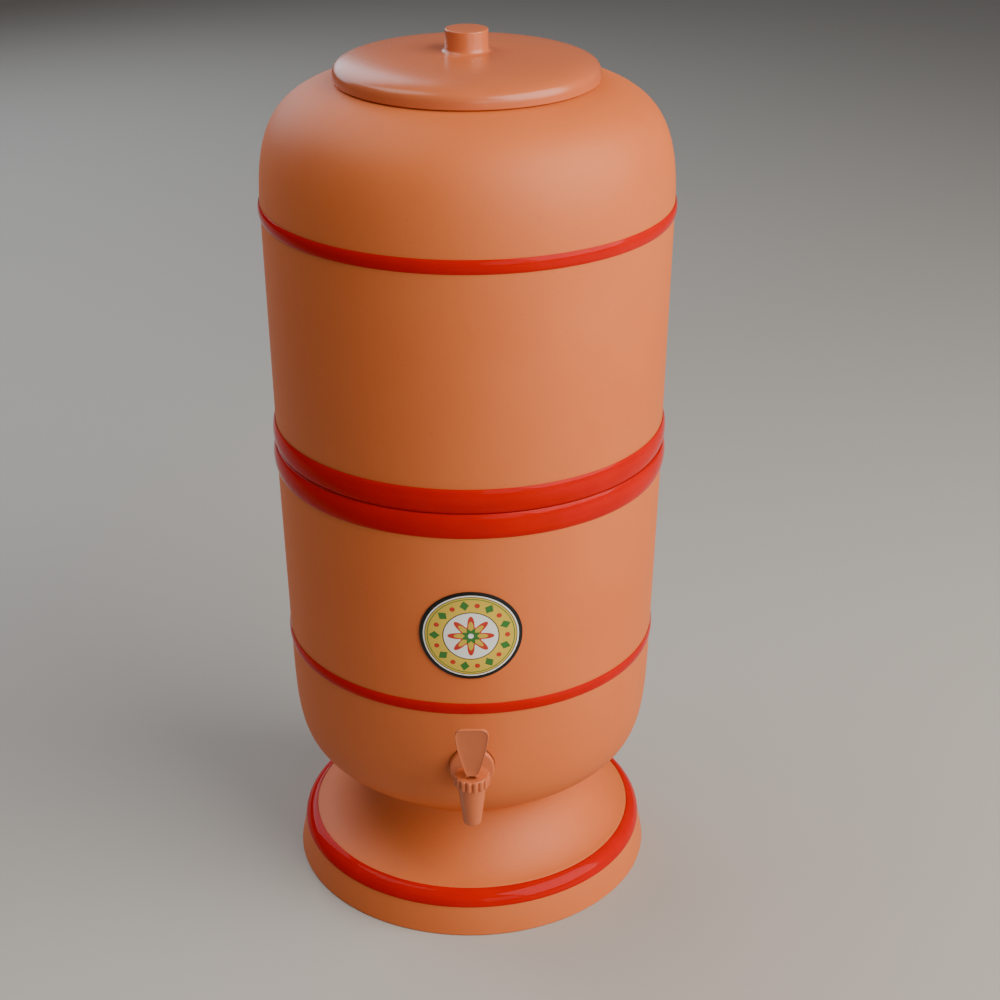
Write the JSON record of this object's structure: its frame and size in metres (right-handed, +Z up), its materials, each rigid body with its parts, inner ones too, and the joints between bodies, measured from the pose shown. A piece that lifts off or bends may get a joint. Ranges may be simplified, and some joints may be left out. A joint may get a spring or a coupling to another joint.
{
  "type": "clay water filter",
  "caption": "Clay water filter: an upper chamber with a ceramic candle stands on a footed lower chamber, with relief bands, a knobbed lid, a float valve and a lever tap at the front.",
  "frame": {"origin": "on the ground under the middle of the whole object, tap included; the vessels' axis stands 16.7 mm behind it, at y = +0.016754", "axes": "+Z up along the vessels' axis; the tap and the label face -Y; +X is to the right of someone who looks at the tap"},
  "size_m": [0.2338, 0.2675, 0.52],
  "materials": {
    "fired_clay": "smooth unglazed fired clay, faint turning marks",
    "red_glaze": "glossy red paint over relief cords",
    "clay_coloured_plastic": "glossy moulded plastic",
    "printed_label": "printed film, yellow with a dark rim",
    "white_ceramic": "chalky porous ceramic",
    "carbon_block": "matt pressed carbon",
    "white_plastic": "satin moulded plastic",
    "silicone": "soft satin rubber",
    "stainless_wire": "bright drawn wire"
  },
  "bodies": {
    "lower": {"lower_reservoir": "fired_clay", "lower_rim_band": "red_glaze", "waist_band": "red_glaze", "foot_band": "red_glaze", "front_label": "printed_label", "tap_body": "clay_coloured_plastic", "tap_outer_washer": "silicone", "tap_inner_washer": "silicone", "tap_lock_nut": "white_plastic", "tap_bonnet": "clay_coloured_plastic", "tap_spring": "stainless_wire"},
    "upper": {"upper_reservoir": "fired_clay", "shoulder_band": "red_glaze", "upper_rim_band": "red_glaze", "candle_shell": "white_ceramic", "candle_carbon_core": "carbon_block", "candle_base": "white_plastic", "candle_washer": "silicone", "candle_under_washer": "silicone", "candle_nut": "white_plastic", "float_valve_body": "white_plastic"},
    "cover": {"lid": "clay_coloured_plastic"},
    "buoy": {"float": "white_plastic", "float_stopper": "silicone"},
    "valve": {"tap_stem": "white_plastic", "tap_seat_cup": "silicone", "tap_lever_pin": "stainless_wire"},
    "handle": {"tap_lever": "clay_coloured_plastic"}
  },
  "joints": [
    {"name": "upper_lift", "type": "slide", "parent": "lower", "child": "upper", "axis": [0, 0, 1], "range_m": [0, 0.15]},
    {"name": "lid_lift", "type": "slide", "parent": "upper", "child": "cover", "axis": [0, 0, 1], "range_m": [0, 0.12]},
    {"name": "float_rise", "type": "slide", "parent": "upper", "child": "buoy", "axis": [0, 0, 1], "range_m": [0, 0.006]},
    {"name": "stem_lift", "type": "slide", "parent": "lower", "child": "valve", "axis": [0, 0, 1], "range_m": [0, 0.0025], "deforming": ["tap_spring"]},
    {"name": "lever_tilt", "type": "hinge", "parent": "valve", "child": "handle", "pos_m": [0, -0.11927, 0.1368], "axis": [1, 0, 0], "range_deg": [0, 45], "stiffness_Nm_per_rad": 0.02, "springref_deg": -17.19}
  ],
  "couplings": [
    {"joint": "stem_lift", "follows": "lever_tilt", "m_per_rad": 0.003183}
  ]
}
